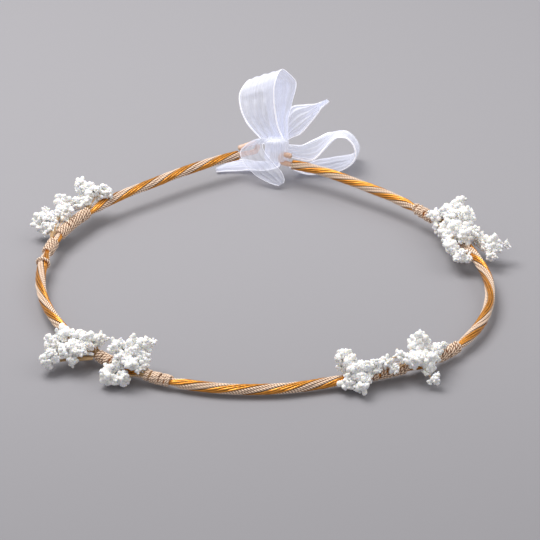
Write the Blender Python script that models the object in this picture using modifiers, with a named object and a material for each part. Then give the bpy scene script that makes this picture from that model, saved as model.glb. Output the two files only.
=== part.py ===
"""Flower crown: an open hoop of four-strand twisted rope, with small white flowers bound on in
bunches and an organza bow tied to its two end loops.

Metres, +Z up. The hoop lies on the ground with its open back towards +Y and its left end at -X.
The origin is the middle of the crown's footprint, at its lowest point.
"""

import math

import bpy
import numpy as np
from mathutils import Vector

MM = 0.001
GAP = 0.3 * MM

# Hoop, along the middle of its rope
HOOP_WIDTH = 181.0 * MM
HOOP_DEPTH = 168.0 * MM
BACK_LIFT = 7.0 * MM
# Bearing in degrees (0 at +X, 90 at +Y) and the rope's distance as a share of a plain ellipse's
HOOP_BENDS = (
    (98, 1.01), (112, 0.945), (128, 0.905), (146, 0.925), (166, 0.97), (188, 1.01), (212, 1.025),
    (236, 1.03), (256, 1.015), (274, 1.0), (290, 0.99), (304, 1.02), (318, 1.065), (334, 1.06),
    (350, 1.015), (366, 0.94), (384, 0.875), (402, 0.845), (418, 0.85), (430, 0.885), (441.4, 0.92),
)

# Rope
ROPE_DIAMETER = 4.2 * MM
CORE_DIAMETER = 0.9 * MM
CORE_CLEARANCE = 0.45 * MM
STRAND_COUNT = 4
STATION_LENGTH = 5.5 * MM
STRAND_SPREAD = 70.0
INNER_TAPER = 5.0
BOUND_SHARE = 0.74
SQUEEZE_MARGIN = 3.0 * MM
SQUEEZE_LENGTH = 5.0 * MM
# The hand-laid twist: a bearing, and how far round the rope the first gold strand lies there, in
# degrees from straight outwards. It runs back for a short way on the right.
TWIST = (
    (98, 50), (120, 320), (150, 675), (177, 1005), (204, 1315), (226, 1660), (246, 2000), (261, 2200),
    (276, 2380), (303, 2735), (314, 2900), (321, 2955), (328, 2920), (336, 2815), (342, 2770),
    (350, 2830), (371, 3170), (402, 3560), (441.4, 4050),
)

# End loops: the core wire bent back on itself, covered with tape
LOOP_RADIUS = 2.2 * MM
LOOP_STEPS = 6
TAPE_DIAMETER = 2.2 * MM
TAPE_CLEARANCE = 0.15 * MM
LEFT_LEG = 7.0 * MM
RIGHT_LEG = 3.0 * MM
LOOP_CLOSING = 0.15
TAPE_END = 0.5 * MM

# Flower stems and the cord that binds them
STEM_DIAMETER = 0.45 * MM
STEM_CLEARANCE = 0.12 * MM
STEM_STEP = 5.5 * MM
STEM_TAIL = 0.5 * MM
STEM_LIFT = 1.2 * MM
STEM_LIFT_RUN = 1.6 * MM
LANE_PITCH = 25.0
CORD_DIAMETER = 1.0 * MM
THICK_CORD_DIAMETER = 1.5 * MM
CORD_SPACING = 1.4
POINTS_PER_TURN = 8
WIRE_BEVEL = 1
UNIT_BEVEL = 1.0

# Places along a flower head and its radius there, as shares of the head's radius
HEAD_SHAPE = ((-0.9, 0.4), (-0.4, 0.95), (0.4, 0.95), (0.95, 0.35))

# Organza ribbon
RIBBON_THICKNESS = 0.5 * MM
KNOT_SIZE = (8.2 * MM, 4.6 * MM, 9.0 * MM)
KNOT_RISE = (0.0, 1.0 * MM, 2.4 * MM)
KNOT_FROM_LOOPS = (6.6 * MM, -3.3 * MM, 8.0 * MM)

# Where the windings start: the bearing of a bunch's first turn, and for one that follows another in
# its bunch, that one and the distance between their starts in mm, with some rope always left free
FREE_ROPE = 4.8 * MM
BUNCH_BEARINGS = {
    "binding_left_back_1": 152.8,
    "binding_left_front_1": 224.6,
    "binding_right_front_1": 296.6,
    "binding_right_back": 384.8,
}
WINDING_SPACING = {
    "binding_left_back_2": ("binding_left_back_1", 25.8),
    "binding_left_front_2": ("binding_left_front_1", 22.3),
    "binding_right_front_2": ("binding_right_front_1", 30.4),
    "crossing_cord_left": ("binding_left_back_2", 14.6),
}
# Every winding: number of turns, cord, side that the stems lie on
# (degrees round the rope from straight outwards, 90 is the top) and the sprigs it binds. A sprig
# is its heads, nearest first: distance before the winding, outwards, upwards and radius in mm.
WINDINGS = {
    "binding_left_back_1": (15, CORD_DIAMETER, 50, (
        ((-1.2, 6.6, 2.4, 1.9),),
        ((3.8, 5.6, 4.6, 2.1), (5.0, 9.8, 8.0, 2.0)),
        ((8.6, 4.8, 6.0, 2.1),),
        ((12.6, 2.0, 5.0, 1.9),),
    )),
    "binding_left_back_2": (6, CORD_DIAMETER, 20, (
        ((8.4, 6.6, -1.0, 1.9), (10.4, 11.8, -2.4, 1.9)),
        ((12.6, 7.0, 3.0, 1.9), (12.6, 11.6, 2.6, 2.0)),
        ((16.2, 6.0, 6.8, 1.8), (18.8, 9.8, 7.8, 2.1)),
    )),
    "binding_left_front_1": (6, CORD_DIAMETER, 60, (
        ((5.6, 11.4, 1.6, 1.9), (8.8, 17.2, 1.2, 2.1)),
        ((9.0, 7.2, 2.6, 1.9), (12.4, 12.6, 4.4, 2.1)),
        ((5.8, 7.0, 5.8, 1.9), (10.8, 8.6, 8.2, 2.1)),
        ((3.4, 2.0, 6.9, 1.9), (8.8, 2.6, 7.4, 2.1)),
        ((1.8, -2.8, 5.8, 1.9),),
    )),
    "binding_left_front_2": (5, THICK_CORD_DIAMETER, 60, (
        ((5.6, 6.4, 0.9, 1.8), (10.4, 9.6, 1.2, 2.1)),
        ((8.0, 4.4, 5.4, 1.9), (12.0, 1.0, 8.6, 2.1)),
        ((3.4, 1.6, 6.2, 1.7), (6.8, -3.4, 9.4, 2.1)),
        ((3.0, -4.4, 4.6, 1.6), (3.6, -8.0, 7.6, 1.9)),
    )),
    "binding_right_front_1": (12, CORD_DIAMETER, 55, (
        ((3.2, 6.2, 1.2, 1.9), (7.8, 5.2, 0.8, 1.9)),
        ((-3.0, 2.6, 6.4, 1.6),),
        ((2.0, 1.6, 6.0, 1.9), (6.6, -0.6, 5.8, 1.9), (10.4, -4.2, 7.6, 1.9)),
    )),
    "binding_right_front_2": (8, CORD_DIAMETER, 60, (
        ((7.4, 7.2, 3.0, 2.0), (8.4, 12.8, 1.2, 1.9)),
        ((11.8, 5.2, 5.0, 1.9), (18.8, 6.4, 3.8, 1.7)),
        ((1.6, 3.2, 4.8, 1.3),),
        ((16.0, 0.6, 6.6, 1.9), (22.4, 1.4, 6.6, 1.9)),
        ((6.6, -1.6, 7.4, 2.2),),
    )),
    "binding_right_back": (8, CORD_DIAMETER, 75, (
        ((22.4, 6.6, 1.2, 1.8), (27.6, 9.4, 1.2, 2.2), (30.2, 14.8, 0.8, 1.5)),
        ((5.2, 6.6, 4.6, 1.9), (7.4, 9.8, 7.8, 2.0)),
        ((12.2, 2.8, 5.4, 1.9), (17.0, 5.0, 7.4, 2.0), (22.6, 1.8, 5.8, 2.1)),
        ((5.4, 0.2, 7.0, 2.1),),
        ((15.6, -3.0, 4.6, 1.8), (24.8, -7.2, 3.2, 2.1), (30.4, -6.8, -1.4, 1.9)),
        ((4.8, -4.4, 3.6, 1.8), (9.8, -5.6, 0.4, 1.7)),
    )),
}
# The loose turn: number of turns, slant in mm per turn and side it starts on
CROSSING_TURN = ("crossing_cord_left", 1.2, 2.6, -150.0)

# Where each limb of the bow turns about the knot, in mm from the knot's middle
LIMB_PIVOTS = {
    "bow_tall_loop": (-2.0, 5.0, 0.5),
    "bow_right_loop": (5.5, 6.0, -8.0),
    "bow_upper_tail": (2.5, 10.0, 0.0),
    "bow_front_loop": (-8.0, 2.0, 0.0),
    "bow_left_tail": (-1.6, 6.0, -11.8),
}
# Limbs of the bow: both edges of the ribbon, from the knot outwards, in mm from the knot's middle
BOW_LIMBS = {
    "bow_tall_loop": (
        ((2.0, 4.2, 0.5), (-9.0, 5.2, 0.5)),
        ((-0.3, 3.4, 7.6), (-12.9, 7.2, 5.8)),
        ((-1.7, 2.0, 15.4), (-16.2, 9.2, 10.5)),
        ((-2.5, 1.5, 26.6), (-17.9, 12.0, 17.0)),
        ((-1.1, 3.0, 33.6), (-16.9, 13.5, 21.4)),
        ((1.6, 7.0, 34.4), (-13.0, 16.0, 25.0)),
        ((6.2, 11.0, 27.5), (-8.5, 20.0, 21.0)),
        ((6.9, 11.2, 23.9), (-7.5, 19.6, 15.8)),
        ((4.8, 9.6, 15.5), (-5.5, 15.0, 9.0)),
        ((3.6, 7.6, 8.4), (-4.0, 10.4, 4.0)),
        ((3.4, 6.2, 0.5), (-3.0, 7.4, 0.5)),
    ),
    "bow_right_loop": (
        ((6.0, 4.6, -3.4), (6.0, 7.0, -4.4)),
        ((9.5, 5.0, -6.0), (9.5, 11.0, -7.0)),
        ((15.4, 6.0, -3.5), (15.6, 17.0, -5.1)),
        ((24.0, 7.0, 0.3), (22.7, 21.0, -4.0)),
        ((28.4, 7.0, 0.6), (29.3, 22.0, -3.8)),
        ((31.4, 7.0, -2.2), (33.8, 22.0, -7.9)),
        ((32.7, 6.5, -5.6), (35.2, 21.0, -12.4)),
        ((31.8, 6.2, -11.0), (32.6, 21.6, -15.6)),
        ((25.0, 5.6, -15.0), (24.6, 20.2, -16.0)),
        ((17.9, 5.2, -16.0), (17.7, 17.4, -16.0)),
        ((10.9, 5.2, -15.6), (10.5, 12.0, -15.8)),
        ((5.6, 5.6, -13.6), (5.4, 8.6, -13.8)),
    ),
    "bow_upper_tail": (
        ((3.6, 9.0, -1.2), (1.0, 11.0, 2.7)),
        ((9.0, 10.0, 1.2), (4.5, 16.0, 10.8)),
        ((13.2, 12.0, 5.4), (11.0, 18.0, 11.5)),
        ((17.8, 15.0, 10.5), (16.7, 18.0, 12.2)),
        ((21.5, 17.0, 13.6), (20.6, 18.0, 14.0)),
    ),
    "bow_front_loop": (
        ((-17.0, 3.4, -3.2), (-7.6, 1.2, 1.2)),
        ((-16.4, 1.6, -7.0), (-6.4, -0.4, -2.6)),
        ((-13.2, 0.4, -11.4), (-3.2, -1.4, -6.6)),
        ((-8.4, -1.8, -14.4), (0.2, -2.6, -10.0)),
        ((-3.6, -4.2, -15.8), (1.8, -3.6, -13.2)),
        ((-0.6, -5.4, -16.0), (1.6, -4.6, -15.0)),
    ),
    "bow_left_tail": (
        ((-1.6, 3.6, -11.8), (-1.6, 8.4, -11.6)),
        ((-9.0, 7.0, -15.0), (-10.0, 13.0, -14.6)),
        ((-17.2, 8.9, -16.1), (-18.6, 16.2, -15.6)),
        ((-27.9, 8.4, -16.1), (-28.2, 9.2, -16.0)),
    ),
}
ROWS_PER_STATION = 2
RIBBON_COLUMNS = 3

# Colour, roughness and metallic value of each material
BEIGE = ((0.84, 0.62, 0.47), 0.85, 0.0)
GOLD = ((0.80, 0.36, 0.06), 0.30, 0.35)
WIRE = ((0.80, 0.76, 0.68), 0.80, 0.0)
NUDE = ((0.86, 0.58, 0.44), 0.60, 0.0)
WHITE = ((0.90, 0.89, 0.86), 0.75, 0.0)
ORGANZA = ((0.82, 0.84, 0.93), 0.35, 0.0)


def smooth_through(stations, values, wanted):
    """Cubic curve through the values, each station's slope taken from its neighbours."""
    stations = np.asarray(stations, float)
    values = np.asarray(values, float)
    wanted = np.asarray(wanted, float)
    slopes = np.gradient(values, stations, axis=0)
    index = np.clip(np.searchsorted(stations, wanted) - 1, 0, len(stations) - 2)
    span = stations[index + 1] - stations[index]
    share = (wanted - stations[index]) / span
    if values.ndim == 2:
        share = share[:, None]
        span = span[:, None]
    rise = 3 * share ** 2 - 2 * share ** 3
    leave = share * (1 - share) ** 2 * span
    arrive = share ** 2 * (share - 1) * span
    start, end = values[index], values[index + 1]
    return start + (end - start) * rise + slopes[index] * leave + slopes[index + 1] * arrive


class Hoop:
    """The rope's middle line, measured in metres along it from its left end."""

    def __init__(self):
        bearings, shares = zip(*HOOP_BENDS)
        self.bearings = np.linspace(bearings[0], bearings[-1], 4001)
        turn = np.radians(self.bearings)
        half_width, half_depth = HOOP_WIDTH / 2, HOOP_DEPTH / 2
        ellipse = half_width * half_depth / np.hypot(half_depth * np.cos(turn), half_width * np.sin(turn))
        radius = ellipse * smooth_through(bearings, shares, self.bearings)
        x = radius * np.cos(turn)
        y = radius * np.sin(turn)
        z = BACK_LIFT * np.clip((y + half_depth) / HOOP_DEPTH, 0, 1)
        self.points = np.stack((x, y, z), axis=1)
        steps = np.linalg.norm(np.diff(self.points, axis=0), axis=1)
        self.distances = np.concatenate(((0.0,), np.cumsum(steps)))
        self.length = self.distances[-1]

    def distance(self, bearing):
        """Distance along the rope at a bearing in degrees."""
        return float(np.interp(bearing, self.bearings, self.distances))

    def point(self, distance):
        """Point on the middle line, carried on straight past either end."""
        inside = min(max(distance, 0.0), self.length)
        here = Vector([float(np.interp(inside, self.distances, self.points[:, i])) for i in range(3)])
        return here + self.along(inside) * (distance - inside)

    def twist(self, distances):
        """Where the first gold strand lies at each distance, in degrees round the rope."""
        bearings = np.interp(distances, self.distances, self.bearings)
        return smooth_through(*zip(*TWIST), bearings)

    def along(self, distance):
        """Unit direction of the rope towards its right end."""
        half_step = 1.0 * MM
        low = min(max(distance - half_step, 0.0), self.length - 2 * half_step)
        ends = [[np.interp(d, self.distances, self.points[:, i]) for i in range(3)]
                for d in (low, low + 2 * half_step)]
        return (Vector(ends[1]) - Vector(ends[0])).normalized()

    def place(self, distance, outwards, upwards):
        """Point at a distance along the rope, and so far outwards and upwards from its middle."""
        along = self.along(distance)
        outward = Vector((along.y, -along.x, 0.0)).normalized()
        upward = outward.cross(along)
        return self.point(distance) + outward * outwards + upward * upwards


def circle(distance_from_middle, degrees):
    """Outwards and upwards parts of a place round the rope."""
    turn = math.radians(degrees)
    return distance_from_middle * math.cos(turn), distance_from_middle * math.sin(turn)


def winding_start(hoop, name):
    """Distance along the rope where a winding starts."""
    if name in BUNCH_BEARINGS:
        return hoop.distance(BUNCH_BEARINGS[name])
    before, spacing = WINDING_SPACING[name]
    start, end, _ = winding_span(hoop, before)
    return max(start + spacing * MM, end + FREE_ROPE)


def winding_span(hoop, name):
    """Start, end and pitch of a winding along the rope."""
    turns, cord = WINDINGS[name][:2]
    start = winding_start(hoop, name)
    pitch = cord * CORD_SPACING
    return start, start + turns * pitch, pitch


def rope_squeeze(hoop, distance):
    """Share of the rope's full size: less under the windings, whose cord is pulled tight."""
    squeeze = 1.0
    for name in WINDINGS:
        start, end, _ = winding_span(hoop, name)
        outside = max(max(start - distance, distance - end) - SQUEEZE_MARGIN, 0.0)
        free = min(outside / SQUEEZE_LENGTH, 1.0)
        squeeze = min(squeeze, BOUND_SHARE + (1 - BOUND_SHARE) * free)
    return squeeze


def make_material(name, look):
    """Principled material from a colour, a roughness and a metallic value."""
    colour, roughness, metallic = look
    material = bpy.data.materials.new(name)
    material.use_nodes = True
    shader = material.node_tree.nodes["Principled BSDF"]
    shader.inputs["Base Color"].default_value = (*colour, 1.0)
    shader.inputs["Roughness"].default_value = roughness
    shader.inputs["Metallic"].default_value = metallic
    return material


def finish_object(name, data, look, collection):
    """Object in a collection, with its own material."""
    item = bpy.data.objects.new(name, data)
    data.materials.append(make_material(name + "_finish", look))
    collection.objects.link(item)
    return item


def wire_curve(name, points):
    """Curve data of one straight-segment spline, as a six-sided wire with filled ends."""
    data = bpy.data.curves.new(name, "CURVE")
    data.dimensions = "3D"
    data.bevel_resolution = WIRE_BEVEL
    data.use_fill_caps = True
    spline = data.splines.new("POLY")
    spline.points.add(len(points) - 1)
    for spot, place in zip(spline.points, points):
        spot.co = (*place, 1.0)
    return data


def sector_profile(guides):
    """Section of one strand: a quarter of the rope's round, less its grooves and the core."""
    outer = ROPE_DIAMETER / 2
    inner = CORE_DIAMETER / 2 + CORE_CLEARANCE
    half_spread = STRAND_SPREAD / 2
    corners = [(outer, degrees) for degrees in np.linspace(half_spread, -half_spread, 4)]
    corners += [(inner, INNER_TAPER - half_spread), (inner, half_spread - INNER_TAPER)]
    data = bpy.data.curves.new("strand_section", "CURVE")
    data.dimensions = "2D"
    spline = data.splines.new("POLY")
    spline.points.add(len(corners) - 1)
    for spot, (radius, degrees) in zip(spline.points, corners):
        spot.co = (*circle(radius, degrees), 0.0, 1.0)
    spline.use_cyclic_u = True
    section = bpy.data.objects.new("strand_section", data)
    section.hide_render = True
    section.display_type = "WIRE"
    guides.objects.link(section)
    return section


def build_strands(hoop, parts, guides):
    """Four strands twisted round the core, braid and gold in turn."""
    section = sector_profile(guides)
    count = round(hoop.length / STATION_LENGTH) + 1
    distances = np.linspace(0.0, hoop.length, count)
    twist = hoop.twist(distances)
    points = [hoop.point(distance) for distance in distances]
    for number in range(STRAND_COUNT):
        braid = number % 2 == 0
        kind = "braid_strand" if braid else "gold_strand"
        name = f"{kind}_{number // 2 + 1}"
        data = wire_curve(name, points)
        data.bevel_mode = "OBJECT"
        data.bevel_object = section
        data.twist_mode = "Z_UP"
        for spot, distance, degrees in zip(data.splines[0].points, distances, twist):
            spot.tilt = -math.radians(degrees + (number - 1) * 360 / STRAND_COUNT)
            spot.radius = rope_squeeze(hoop, distance)
        finish_object(name, data, BEIGE if braid else GOLD, parts)


def end_loop(hoop, left):
    """Points of the wire's end: out from the rope, round half a turn and back above, closing in."""
    base = 0.0 if left else hoop.length
    leg = LEFT_LEG if left else RIGHT_LEG
    along = hoop.along(base)
    leaving = -along if left else along
    upward = Vector((along.y, -along.x, 0.0)).normalized().cross(along)
    start = hoop.point(base)
    middle = start + leaving * leg + upward * LOOP_RADIUS
    points = [start, start + leaving * (leg / 2)]
    for step in range(LOOP_STEPS + 1):
        turn = math.pi * step / LOOP_STEPS
        points.append(middle + (leaving * math.sin(turn) - upward * math.cos(turn)) * LOOP_RADIUS)
    points.append(points[-1] - (leaving + upward * LOOP_CLOSING) * leg)
    return points


def build_core_and_tapes(hoop, parts):
    """Core wire, bent back into a loop at each end, and the tape over each loop."""
    left = end_loop(hoop, True)
    right = end_loop(hoop, False)
    count = round(hoop.length / STATION_LENGTH) + 1
    inner = [hoop.point(distance) for distance in np.linspace(0.0, hoop.length, count)[1:-1]]
    data = wire_curve("core_wire", left[::-1] + inner + right)
    data.bevel_depth = CORE_DIAMETER / 2
    finish_object("core_wire", data, WIRE, parts)
    for name, path in (("tape_left", left), ("tape_right", right)):
        leaving = (path[1] - path[0]).normalized()
        path = [path[0] + leaving * GAP] + path[1:-1] + [path[-1] + leaving * TAPE_END]
        data = wire_curve(name, path)
        data.bevel_depth = TAPE_DIAMETER / 2
        data.use_fill_caps = False
        tape = finish_object(name, data, NUDE, parts)
        wall = tape.modifiers.new("wall", "SOLIDIFY")
        wall.thickness = (TAPE_DIAMETER - CORE_DIAMETER) / 2 - TAPE_CLEARANCE
        wall.offset = -1.0


def winding_radii(cord, stem_count):
    """Radius of a winding's turn and how far its middle is shifted towards the stems."""
    chord = math.cos(math.pi / POINTS_PER_TURN)
    rope = ROPE_DIAMETER / 2 * BOUND_SHARE
    stem_top = rope + STEM_CLEARANCE + STEM_DIAMETER
    half_lanes = math.radians(LANE_PITCH * (stem_count - 1) / 2)
    over_stems = (stem_top + STEM_CLEARANCE + cord / 2) / chord
    over_rope = (rope + STEM_CLEARANCE + cord / 2) / chord
    shift = (over_stems - over_rope) / (1 + math.cos(half_lanes))
    return over_rope + shift, shift


def build_windings(hoop, parts):
    """Cord wound tight round the rope and the stems."""
    for name, (turns, cord, stem_side, sprigs) in WINDINGS.items():
        start, _, pitch = winding_span(hoop, name)
        radius, shift = winding_radii(cord, len(sprigs))
        shift_out, shift_up = circle(shift, stem_side)
        points = []
        for step in range(turns * POINTS_PER_TURN + 1):
            turn = step / POINTS_PER_TURN
            out, up = circle(radius, 360 * turn + stem_side + 180)
            points.append(hoop.place(start + turn * pitch, out + shift_out, up + shift_up))
        data = wire_curve(name, points)
        data.bevel_depth = cord / 2
        finish_object(name, data, BEIGE, parts)

    name, turns, slant, first_side = CROSSING_TURN
    radius = (ROPE_DIAMETER / 2 + STEM_CLEARANCE + CORD_DIAMETER / 2) / math.cos(math.pi / POINTS_PER_TURN)
    start = winding_start(hoop, name)
    points = []
    for step in range(round(turns * POINTS_PER_TURN) + 1):
        turn = step / POINTS_PER_TURN
        points.append(hoop.place(start + turn * slant * MM, *circle(radius, 360 * turn + first_side)))
    data = wire_curve(name, points)
    data.bevel_depth = CORD_DIAMETER / 2
    finish_object(name, data, BEIGE, parts)


def sprig_path(hoop, winding, lane, heads):
    """Points and radii of one sprig: its stem under the winding, then through its heads."""
    start, end, _ = winding_span(hoop, winding)
    stem = STEM_DIAMETER / 2
    lane_radius = ROPE_DIAMETER / 2 * BOUND_SHARE + STEM_CLEARANCE + stem
    lane_out, lane_up = circle(lane_radius, lane)
    bound_from = end - STEM_TAIL
    steps = math.ceil((bound_from - start) / STEM_STEP)
    bound = np.linspace(bound_from, start, steps + 1)
    points = [hoop.place(distance, lane_out, lane_up) for distance in bound]
    lift_out, lift_up = circle(lane_radius + STEM_LIFT, lane)
    points.append(hoop.place(start - STEM_LIFT_RUN, lift_out, lift_up))
    radii = [stem] * len(points)
    for before, out, up, radius in heads:
        middle = hoop.place(start - before * MM, out * MM, up * MM)
        leaving = (middle - points[-1]).normalized()
        radius *= MM
        for share, swell in HEAD_SHAPE:
            points.append(middle + leaving * radius * share)
            radii.append(radius * swell)
    return points, radii


def build_sprigs(hoop, parts):
    """Flower sprigs, side by side under their winding."""
    for winding, (_, _, stem_side, sprigs) in WINDINGS.items():
        place = winding.removeprefix("binding_")
        for number, heads in enumerate(sprigs):
            lane = stem_side + LANE_PITCH * (number - (len(sprigs) - 1) / 2)
            name = f"sprig_{place}_{'abcdef'[number]}"
            points, radii = sprig_path(hoop, winding, lane, heads)
            data = wire_curve(name, points)
            data.bevel_depth = UNIT_BEVEL
            for spot, radius in zip(data.splines[0].points, radii):
                spot.radius = radius
            finish_object(name, data, WHITE, parts)


def knot_middle(hoop):
    """Middle of the bow's knot, set from the middle of the gap between the rope's ends."""
    return (hoop.point(0.0) + hoop.point(hoop.length)) / 2 + Vector(KNOT_FROM_LOOPS)


def build_bow(hoop, parts):
    """Knot of gathered ribbon and the limbs that leave it, each a strip between two edges."""
    middle = knot_middle(hoop)
    bpy.ops.mesh.primitive_uv_sphere_add(segments=16, ring_count=10, radius=0.5, location=(0, 0, 0))
    knot = bpy.context.object
    knot.name = "bow_knot"
    knot.data.name = "bow_knot"
    knot.data.materials.append(make_material("bow_knot_finish", ORGANZA))
    for vertex in knot.data.vertices:
        vertex.co = [value * size for value, size in zip(vertex.co, KNOT_SIZE)]
    knot.location = middle + Vector(KNOT_RISE)
    for owner in list(knot.users_collection):
        owner.objects.unlink(knot)
    parts.objects.link(knot)

    for name, stations in BOW_LIMBS.items():
        rows = (len(stations) - 1) * ROWS_PER_STATION + 1
        wanted = np.linspace(0, len(stations) - 1, rows)
        near, far = (smooth_through(range(len(stations)), [pair[side] for pair in stations], wanted)
                     for side in (0, 1))
        across = np.linspace(0, 1, RIBBON_COLUMNS)[None, :, None]
        grid = near[:, None, :] * (1 - across) + far[:, None, :] * across
        faces = [(row * RIBBON_COLUMNS + column, row * RIBBON_COLUMNS + column + 1,
                  (row + 1) * RIBBON_COLUMNS + column + 1, (row + 1) * RIBBON_COLUMNS + column)
                 for row in range(rows - 1) for column in range(RIBBON_COLUMNS - 1)]
        pivot = np.array(LIMB_PIVOTS[name])
        data = bpy.data.meshes.new(name)
        data.from_pydata(((grid.reshape(-1, 3) - pivot) * MM).tolist(), [], faces)
        strip = finish_object(name, data, ORGANZA, parts)
        strip.location = middle + Vector(pivot * MM)
        wall = strip.modifiers.new("wall", "SOLIDIFY")
        wall.thickness = RIBBON_THICKNESS
        wall.offset = 0.0


def centre_on_ground(parts):
    """Move the crown so that its box stands on the ground with its middle over the origin."""
    bpy.context.view_layer.update()
    graph = bpy.context.evaluated_depsgraph_get()
    corners = []
    for item in parts.objects:
        ready = item.evaluated_get(graph)
        mesh = ready.to_mesh()
        corners.extend(ready.matrix_world @ vertex.co for vertex in mesh.vertices)
        ready.to_mesh_clear()
    low = Vector([min(corner[i] for corner in corners) for i in range(3)])
    high = Vector([max(corner[i] for corner in corners) for i in range(3)])
    shift = Vector((-(low.x + high.x) / 2, -(low.y + high.y) / 2, -low.z))
    for item in parts.objects:
        item.location += shift


def main():
    for item in list(bpy.data.objects):
        bpy.data.objects.remove(item, do_unlink=True)
    parts = bpy.data.collections.new("flower_crown")
    guides = bpy.data.collections.new("guides")
    bpy.context.scene.collection.children.link(parts)
    bpy.context.scene.collection.children.link(guides)

    hoop = Hoop()
    build_strands(hoop, parts, guides)
    build_core_and_tapes(hoop, parts)
    build_windings(hoop, parts)
    build_sprigs(hoop, parts)
    build_bow(hoop, parts)
    centre_on_ground(parts)


main()
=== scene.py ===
import math

import bpy
import numpy as np
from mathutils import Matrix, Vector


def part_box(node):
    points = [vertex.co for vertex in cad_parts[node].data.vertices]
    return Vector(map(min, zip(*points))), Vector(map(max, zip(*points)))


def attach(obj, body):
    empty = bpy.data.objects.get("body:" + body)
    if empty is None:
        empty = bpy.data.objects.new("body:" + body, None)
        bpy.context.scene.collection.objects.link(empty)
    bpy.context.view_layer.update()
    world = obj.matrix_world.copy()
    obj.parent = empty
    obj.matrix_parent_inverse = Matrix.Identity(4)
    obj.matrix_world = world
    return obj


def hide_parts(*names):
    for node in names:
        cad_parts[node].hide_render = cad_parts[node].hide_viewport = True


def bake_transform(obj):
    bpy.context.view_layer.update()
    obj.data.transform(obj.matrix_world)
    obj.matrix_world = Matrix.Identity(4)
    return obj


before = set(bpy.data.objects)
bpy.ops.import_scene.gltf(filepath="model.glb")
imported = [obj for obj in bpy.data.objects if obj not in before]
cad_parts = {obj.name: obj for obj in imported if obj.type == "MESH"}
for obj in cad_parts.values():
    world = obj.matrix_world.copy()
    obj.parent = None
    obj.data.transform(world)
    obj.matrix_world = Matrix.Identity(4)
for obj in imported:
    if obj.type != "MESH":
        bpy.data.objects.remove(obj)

bl_info = {
    "name": "Flower Crown",
    "version": (1, 0, 0),
    "blender": (4, 5, 0),
    "location": "View3D > Sidebar > Flower Crown",
    "description": "Dresses the crown's frame in cord, straw, blooms and organza",
    "category": "Add Mesh",
}

MM = 0.001

# The hoop's middle line, the same as the frame's. The bends are measured results that a program
# worked out, not design values: bearing in degrees and share of a plain ellipse
HOOP_WIDTH = 181.0 * MM
HOOP_DEPTH = 168.0 * MM
BACK_LIFT = 7.0 * MM
HOOP_BENDS = (
    (98, 1.01), (112, 0.945), (128, 0.905), (146, 0.925), (166, 0.97), (188, 1.01), (212, 1.025),
    (236, 1.03), (256, 1.015), (274, 1.0), (290, 0.99), (304, 1.02), (318, 1.065), (334, 1.06),
    (350, 1.015), (366, 0.94), (384, 0.875), (402, 0.845), (418, 0.85), (430, 0.885), (441.4, 0.92),
)
CORE_DIAMETER = 0.9 * MM
BOUND_SHARE = 0.66
SQUEEZE_MARGIN = 0.8 * MM
SQUEEZE_LENGTH = 5.0 * MM
# The twist, uneven as hand-laid rope is: bearing and the gold strand's place round the rope, in
# degrees. These are measured results that a program worked out, thinned and evened
TWIST = (
    (98, 50), (120, 320), (150, 675), (177, 1005), (204, 1315), (226, 1660), (246, 2000), (261, 2200),
    (276, 2380), (303, 2735), (314, 2900), (321, 2955), (328, 2920), (336, 2815), (342, 2770),
    (350, 2830), (371, 3170), (402, 3560), (441.4, 4050),
)
LOOP_RADIUS = 2.2 * MM
LEFT_LEG = 7.0 * MM
RIGHT_LEG = 3.0 * MM
LOOP_CLOSING = 0.15

# Where the windings start: the bearing of a bunch's first turn, and for one that follows another in
# its bunch, that one and the distance between their starts in mm, with some rope always left free.
# The bearings are measured results that a program worked out, and the distances come from them
FREE_ROPE = 4.8 * MM
BUNCH_BEARINGS = {
    "left_back_1": 152.8, "left_front_1": 224.6, "right_front_1": 296.6, "right_back": 384.8,
}
WINDING_SPACING = {
    "left_back_2": ("left_back_1", 25.8),
    "left_front_2": ("left_front_1", 22.3),
    "right_front_2": ("right_front_1", 30.4),
    "crossing": ("left_back_2", 14.6),
}
# Windings: turns, pitch in mm, side the stems lie on in degrees, how loosely they are wound in mm
WINDINGS = {
    "left_back_1": (15, 1.4, 50, 0.34),
    "left_back_2": (6, 1.4, 20, 0.3),
    "left_front_1": (6, 1.4, 60, 0.45),
    "left_front_2": (5, 2.1, 60, 0.5),
    "right_front_1": (12, 1.4, 55, 0.6),
    "right_front_2": (8, 1.4, 60, 0.45),
    "right_back": (8, 1.4, 75, 0.8),
}
# A winding of a wider pitch than this is wound with two thinner cords, so far apart
DOUBLE_PITCH = 2.0
TWIN_SPACING = 0.88 * MM
TWIN_THINNING = 0.84
# The loose turn: turns, slant in mm a turn and the side it starts on
CROSSING_TURN = (1.2, 2.6, -150)
LANE_PITCH = 25.0
# Highest pleat of the ribbon from its middle sheet
PLEAT_LIMIT = 0.95 * MM
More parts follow.
